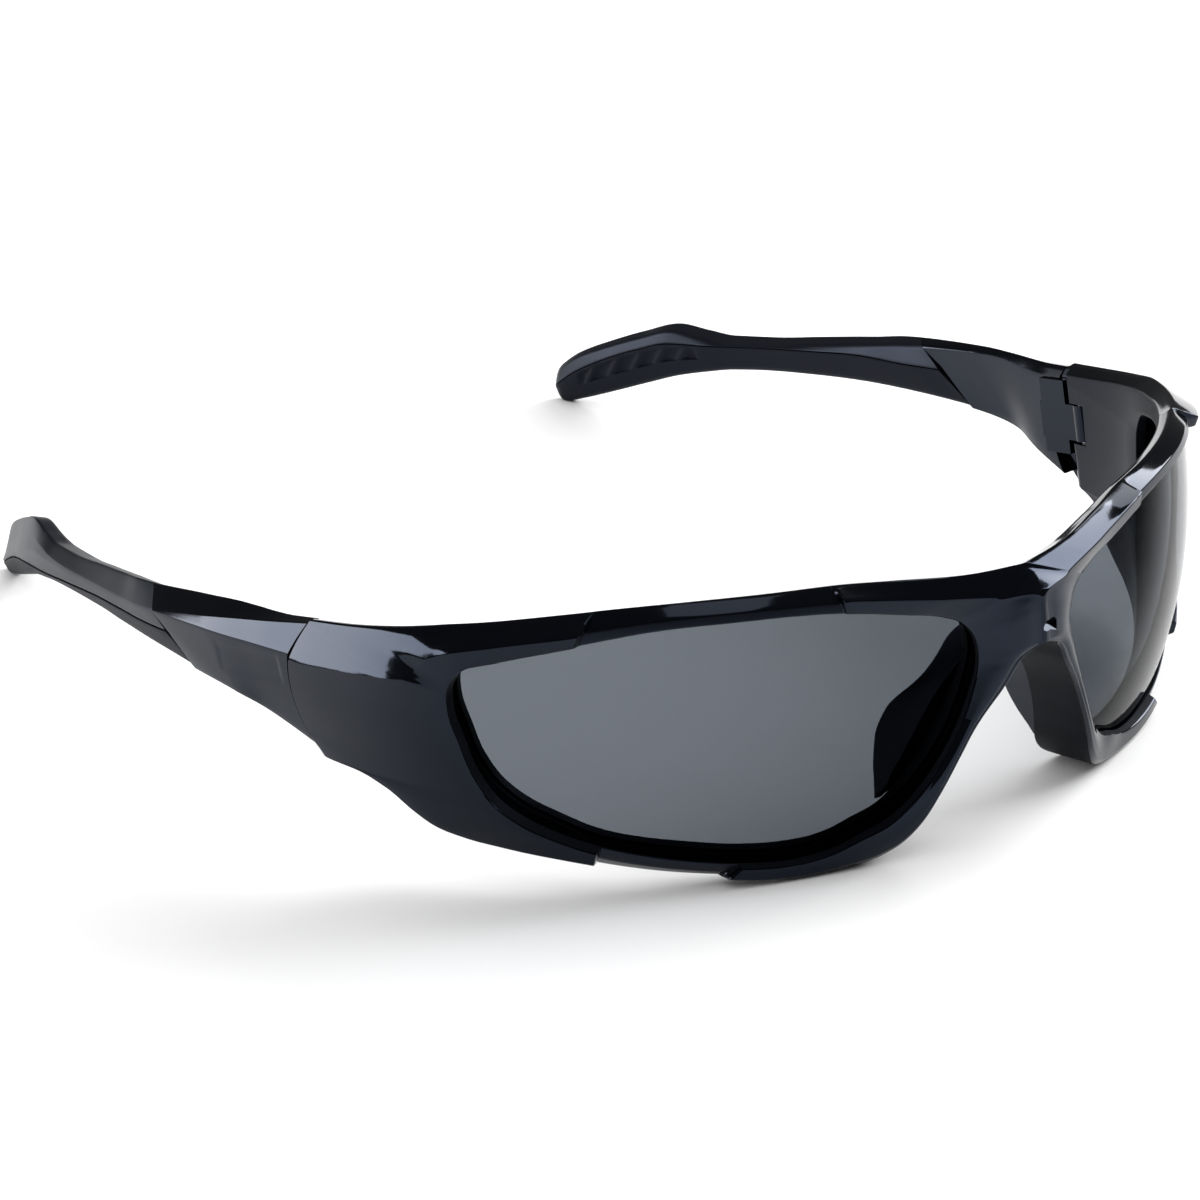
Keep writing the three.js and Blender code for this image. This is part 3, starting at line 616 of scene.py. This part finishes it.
# ---- arm and grip ----
FACET_SLOPE = 0.5  # of the bright facet between the arm's two creases
TIP_ROUND = 2.6
TOP_FALL = 0.8  # how much lower the arm's top is where it meets the frame
HINGE_BOSS = 0.85  # how much thicker the arm is on the inside at the hinge
PANEL = {"y": (-3.0, 9.5), "z": (-5.0, -1.6), "depth": 0.07, "edge": 0.8}
OUTSIDE = 20  # points of an arm section on its outer side
RIBS = {"along": (72, 97), "count": 5, "depth": 0.45, "lean": 1.1}


def inside_box(value, low, high, edge):
    """1 inside a range and 0 outside it, with soft edges."""
    return ease((value - low) / edge + 0.5) * ease((high - value) / edge + 0.5)


def skewed(along, x, z, outer, thickness):
    fade = 1 - ease(np.abs(along - GRIP_START) / SKEW_REACH)
    shift = SKEW_Z * (z - SKEW_MIDDLE) + SKEW_X * (x - outer + thickness / 2)
    return np.stack([x, along + fade * shift, z], -1)


def arm_table(along):
    outer, thick, low, crease1, crease2, top = read_table(ARM, along)
    part_out, part_in = read_table(PARTING, along)
    return outer, outer - thick, thick, low, crease1, crease2, top, part_out, part_in


def arm_rings(along, gripped):
    outer, inner, thick, low, crease1, crease2, top, part_out, part_in = arm_table(along)
    wall = GRIP_WALL + GRIP_GAP
    core = low + RIB_UP + GRIP_GAP
    inset = FACET_SLOPE * (crease2 - crease1)
    flatter = ease((34 - along) / 14)
    top_out = outer - mix(np.maximum(2.0, inset + 0.8), np.minimum(inset + 2.2, thick - 1.3), flatter)
    top_in = inner + 0.6
    at_joint = ease((8 - along) / 12)
    inner = inner - HINGE_BOSS * at_joint
    low_out = np.maximum(part_out, low + 0.9) + GRIP_GAP / 2 if gripped else low
    low_in = np.maximum(part_in, low + 0.9) + GRIP_GAP / 2 if gripped else low
    corners = [
        (outer - (0.05 if gripped else 0.5), low_out),
        (outer, np.maximum(crease1, low_out + 0.35)),
        (outer - inset, np.maximum(crease2, low_out + 0.7)),
        (top_out, top - TOP_FALL * at_joint),
        (top_in, top - 0.9 - 2.5 * TOP_FALL * at_joint),
        (inner + (0 if gripped else 0.3), low_in),
        (inner + (wall if gripped else 0.9), np.minimum(low_in, top - 0.9) if gripped else low),
        (inner + wall, np.minimum(core, low_in - 0.3) if gripped else low),
        (outer - wall, np.minimum(core, low_out - 0.3) if gripped else low),
        (outer - (wall if gripped else 0.9), low_out),
    ]
    corners = np.stack([np.stack([x + 0 * along, z + 0 * along], -1) for x, z in corners], 1)
    radii = np.tile([0.3, 0.25, 0.12, 0.3, 0.5, 0.25, 0, 0, 0, 0], (len(along), 1))
    arcs = [3, 4, 4, 5, 5, 4, 1, 1, 1, 1]
    between = [16, 2, 2, 2, 6, 0, 0, 0, 0, 0]
    ring = rounded_ring(corners, radii, arcs, between)
    spread = [v[:, None] for v in (along, outer, thick)]
    points = skewed(spread[0], ring[..., 0], ring[..., 1], spread[1], spread[2])
    if not gripped:
        sunk = inside_box(points[..., 1], *PANEL["y"], PANEL["edge"])
        sunk *= inside_box(points[..., 2], *PANEL["z"], PANEL["edge"])
        points[:, :OUTSIDE, 0] -= PANEL["depth"] * sunk[:, :OUTSIDE]
    return points


def grip_rings(along):
    outer, inner, thick, low, *_, part_out, part_in = arm_table(along)
    floor = low + RIB_UP
    top_out = np.maximum(part_out, low + 0.9) - GRIP_GAP / 2
    top_in = np.maximum(part_in, low + 0.9) - GRIP_GAP / 2
    corners = [
        (outer, top_out),
        (outer - 0.7, low),
        (inner + 0.7, low),
        (inner, top_in),
        (inner + GRIP_WALL, top_in),
        (inner + GRIP_WALL, np.minimum(floor, top_in - 0.3)),
        (outer - GRIP_WALL, np.minimum(floor, top_out - 0.3)),
        (outer - GRIP_WALL, top_out),
    ]
    corners = np.stack([np.stack([x + 0 * along, z + 0 * along], -1) for x, z in corners], 1)
    radii = np.tile([0.15, 0.9, 0.9, 0.2, 0, 0, 0, 0], (len(along), 1))
    arcs = [3, 6, 6, 3, 1, 1, 1, 1]
    between = [4, 2, 24, 0, 0, 0, 0, 0]
    ring = rounded_ring(corners, radii, arcs, between)
    # The inside of the end has a shallow sunk zone crossed by slanting ribs.
    low_edge, high_edge = (low + 1.5)[:, None], (top_in - 0.5)[:, None]
    sunk = inside_box(ring[..., 1], low_edge, high_edge, 0.6)
    sunk *= inside_box(along[:, None], *RIBS["along"], 1.2)
    start, stop = RIBS["along"]
    wave = (along[:, None] - start + RIBS["lean"] * (ring[..., 1] - low_edge)) / (stop - start)
    rib = 0.5 + 0.5 * np.cos(2 * np.pi * RIBS["count"] * wave)
    on_inside = np.abs(ring[..., 0] - inner[:, None]) < 0.35
    ring[..., 0] += np.where(on_inside, RIBS["depth"] * sunk * (1 - rib**2), 0)
    spread = [v[:, None] for v in (along, outer, thick)]
    return skewed(spread[0], ring[..., 0], ring[..., 1], spread[1], spread[2])


def rounded_tip(rings):
    """Draws the last sections in towards their middles, so that the end is round."""
    along = rings[..., 1].mean(axis=1)
    inward = np.clip((along - (GRIP_END - TIP_ROUND)) / TIP_ROUND, 0, 0.97)
    share = np.sqrt(1 - inward**2)[:, None, None]
    outer, _, thick, low, _, _, top, *_ = arm_table(along)
    middle = np.stack([outer - thick / 2, along, (low + top) / 2], -1)[:, None]
    return middle + (rings - middle) * np.where(inward[:, None, None] > 0, share, 1)


def make_arm():
    plain = arm_rings(np.linspace(-10, GRIP_START, 150), False)
    gripped = arm_rings(np.linspace(GRIP_START, GRIP_END, 220), True)
    rings = rounded_tip(np.concatenate([plain, gripped]))
    count = rings.shape[1]
    finishes = np.repeat([0, 1, 1], [(len(plain) - 1) * count, len(gripped) * count, 2])
    arm = loft("arm_left_shell", rings, finishes=finishes)
    for finish in (ARM_GLOSS, ARM_SATIN):
        arm.data.materials.append(finish)
    combine(arm, [past_joint(-1, JOINT_GAP)], "DIFFERENCE")
    neck = box_cutter((PLATE[0][0], PIVOT[1], TONGUE_LOW), (PIVOT[0] + TONGUE_R, -3.2, TONGUE_HIGH))
    knuckle = bar_cutter(TONGUE_R, TONGUE_LOW, TONGUE_HIGH)
    combine(arm, [neck, box_cutter(*PLATE), knuckle], "UNION")
    bore = bar_cutter(SCREW_R + SCREW_PLAY, TONGUE_LOW - 1, TONGUE_HIGH + 1)
    combine(arm, [bore], "DIFFERENCE")
    return arm


def make_grip():
    rings = grip_rings(np.linspace(GRIP_START + GRIP_GAP, GRIP_END, 220))
    grip = loft("grip_left_soft", rounded_tip(rings))
    combine(grip, [table_cutter()], "DIFFERENCE")
    return grip


# ---- hinge screw ----
SLOT_HALF = 0.18  # half the width of the driving slot
SLOT_DEPTH = 0.4


def make_screw():
    head = SCREW_LOW + 0.7
    profile = [
        (0, SCREW_LOW), (SCREW_HEAD - 0.3, SCREW_LOW), (SCREW_HEAD - 0.08, SCREW_LOW + 0.08),
        (SCREW_HEAD, SCREW_LOW + 0.3), (SCREW_HEAD, head), (SCREW_R, head),
        (SCREW_R, SCREW_HIGH - 0.15), (SCREW_R - 0.15, SCREW_HIGH), (0, SCREW_HIGH),
    ]
    sides = 48
    turn = np.linspace(0, 2 * np.pi, sides, endpoint=False)
    rings = [
        np.stack([PIVOT[0] + r * np.cos(turn), PIVOT[1] + r * np.sin(turn), z + 0 * turn], -1)
        for r, z in profile[1:-1]
    ]
    screw = loft("screw_left_steel", np.stack(rings))
    driver = box_cutter(
        (PIVOT[0] - 2, PIVOT[1] - SLOT_HALF, SCREW_LOW - 0.5),
        (PIVOT[0] + 2, PIVOT[1] + SLOT_HALF, SCREW_LOW + SLOT_DEPTH),
    )
    combine(screw, [driver], "DIFFERENCE")
    return screw


# ---- nose saddle ----
def make_saddle(front):
    rows = np.array(SADDLE)
    fine = np.linspace(rows[0, 0] + 0.35, rows[-1, 0], 60)
    rear = np.stack(read_table(SADDLE, fine), -1)
    _, rim, _, _, heights, _ = station(fine)
    off = heights[3] + SADDLE_REACH
    lip = on_wrap(*rim_back(rim, heights[2], off), off)
    lip[-1, 0] = 0
    rear[-1, 0] = 0
    flip = np.array([-1, 1, 1])
    lip = np.vstack([lip, lip[-2::-1] * flip])
    rear = np.vstack([rear, rear[-2::-1] * flip])
    along = np.gradient(lip, axis=0)
    out = np.cross(rear - lip, along)
    out /= np.linalg.norm(out, axis=1)[:, None]
    corners = np.stack(
        [lip, rear, rear + out * SADDLE_THICK * 0.8, lip + out * SADDLE_THICK], axis=1
    )
    radii = np.tile([0.0, 0.5, 0.5, 0.0], (len(lip), 1))
    rings = rounded_ring(corners, radii, [1, 5, 5, 1], [6, 0, 6, 0])
    saddle = loft("saddle_soft", rings)
    for shift in (0.0, SADDLE_GAP):
        copy = bpy.data.objects.new("cutter", front.data.copy())
        bpy.context.scene.collection.objects.link(copy)
        copy.data.transform(Matrix.Translation(lay([0, shift, 0]) - lay([0, 0, 0])))
        combine(saddle, [copy], "DIFFERENCE")
    return saddle


# ---- assembly ----
def finish_piece(piece, material, slot, body, *nodes, angle=28):
    if material:
        piece.data.materials.clear()
        piece.data.materials.append(material)
    piece.data.shade_smooth()
    piece.data.set_sharp_from_angle(angle=math.radians(angle))
    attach(piece, body)
    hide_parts(*nodes)


front = make_front()
saddle = make_saddle(front)
finish_piece(front, None, "frame_gloss", "front", "front_frame")
finish_piece(saddle, SADDLE_SOFT, "grip_soft", "front", "nose_saddle")
for left, kind, material, slot, node_name, bodies in (
    (make_lens(), "glass", SMOKE, "lens_smoke", "lens", ("front", "front")),
    (make_arm(), "shell", None, "frame_gloss", "arm", ("left_arm", "right_arm")),
    (make_grip(), "soft", SOFT, "grip_soft", "arm_grip", ("left_arm", "right_arm")),
    (make_screw(), "steel", STEEL, "screw_steel", "hinge_screw", ("front", "front")),
):
    right = mirrored(left, left.name.replace("left", "right"))
    finish_piece(left, material, slot, bodies[0], node_name + "_left")
    finish_piece(right, material, slot, bodies[1], node_name + "_right")


# ---- camera, floor and lights ----
def add_camera():
    azimuth, elevation, roll = (math.radians(v) for v in (-33.42, 16.12, -8.96))
    back = np.array([
        math.sin(azimuth) * math.cos(elevation),
        -math.cos(azimuth) * math.cos(elevation),
        math.sin(elevation),
    ])
    level = np.array([math.cos(azimuth), math.sin(azimuth), 0])
    upright = np.cross(back, level)
    right = math.cos(roll) * level + math.sin(roll) * upright
    up = np.cross(back, right)
    origin = lay([0, 0, 0])
    axes = [(lay(v) - origin) / MM for v in (right, up, back)]
    place = lay([-252.03, -357.30, 114.04])
    data = bpy.data.cameras.new("camera")
    data.lens, data.sensor_width = 102, 36
    data.clip_start, data.clip_end = 0.01, 50
    camera = bpy.data.objects.new("camera", data)
    bpy.context.scene.collection.objects.link(camera)
    matrix = Matrix([[*(axis[row] for axis in axes), place[row]] for row in range(3)] + [[0, 0, 0, 1]])
    camera.matrix_world = matrix
    bpy.context.scene.camera = camera


def softbox(name, direction, spread, radiance, distance=2.0, in_mirror=True):
    """A panel facing the object. direction is degrees from +Y towards +X, and above the horizon;
    spread is how wide and how high it looks from the object, in degrees."""
    azimuth, elevation = (math.radians(v) for v in direction)
    away = Vector((
        math.sin(azimuth) * math.cos(elevation),
        math.cos(azimuth) * math.cos(elevation),
        math.sin(elevation),
    ))
    data = bpy.data.lights.new(name, "AREA")
    data.shape = "RECTANGLE"
    data.size, data.size_y = (2 * distance * math.tan(math.radians(v / 2)) for v in spread)
    data.energy = radiance * math.pi * data.size * data.size_y
    lamp = bpy.data.objects.new(name, data)
    lamp.location = away * distance
    lamp.rotation_euler = away.to_track_quat("Z", "Y").to_euler()
    lamp.visible_glossy = in_mirror
    bpy.context.scene.collection.objects.link(lamp)


def add_floor():
    data = bpy.data.meshes.new("floor")
    side = 4
    corners = [(-side, -side, 0), (side, -side, 0), (side, side, 0), (-side, side, 0)]
    data.from_pydata(corners, [], [(0, 1, 2, 3)])
    floor = bpy.data.objects.new("floor", data)
    bpy.context.scene.collection.objects.link(floor)
    material = bpy.data.materials.new("floor_white")
    material.use_nodes = True
    shader = material.node_tree.nodes["Principled BSDF"]
    shader.inputs["Base Color"].default_value = (0.9, 0.9, 0.9, 1)
    shader.inputs["Roughness"].default_value = 0.9
    data.materials.append(material)


def add_backdrop():
    """A white wall round the floor, seen directly or through the lenses but not lighting anything."""
    radius, height, sides = 1.3, 2, 64
    turn = np.linspace(0, 2 * np.pi, sides, endpoint=False)
    ring = np.stack([radius * np.cos(turn), radius * np.sin(turn)], -1)
    points = [(x, y, z) for z in (0, height) for x, y in ring]
    data = bpy.data.meshes.new("backdrop")
    data.from_pydata(points, [], loft_faces(2, sides, False)[:sides])
    wall = bpy.data.objects.new("backdrop", data)
    bpy.context.scene.collection.objects.link(wall)
    wall.visible_glossy = False
    wall.visible_diffuse = False
    wall.visible_shadow = False
    material = bpy.data.materials.new("backdrop_white")
    material.use_nodes = True
    shader = material.node_tree.nodes["Principled BSDF"]
    shader.inputs["Base Color"].default_value = (0, 0, 0, 1)
    shader.inputs["Emission Color"].default_value = (1, 1, 1, 1)
    shader.inputs["Emission Strength"].default_value = 1
    data.materials.append(material)


def add_world(strength):
    world = bpy.data.worlds.new("studio")
    world.use_nodes = True
    world.node_tree.nodes["Background"].inputs["Color"].default_value = (1, 1, 1, 1)
    world.node_tree.nodes["Background"].inputs["Strength"].default_value = strength
    bpy.context.scene.world = world


add_camera()
add_floor()
add_backdrop()
add_world(0.09)
softbox("fill_above", (0, 88), (100, 100), 1.25, in_mirror=False)
softbox("panel_back_left", (-47, 13), (26, 20), 8.5)
softbox("panel_right", (102, 30), (40, 22), 13)
softbox("panel_right_high", (72, 45), (20, 14), 4.5)
softbox("panel_top", (50, 79), (16, 16), 1.5)
bpy.context.scene.view_settings.view_transform = "Standard"
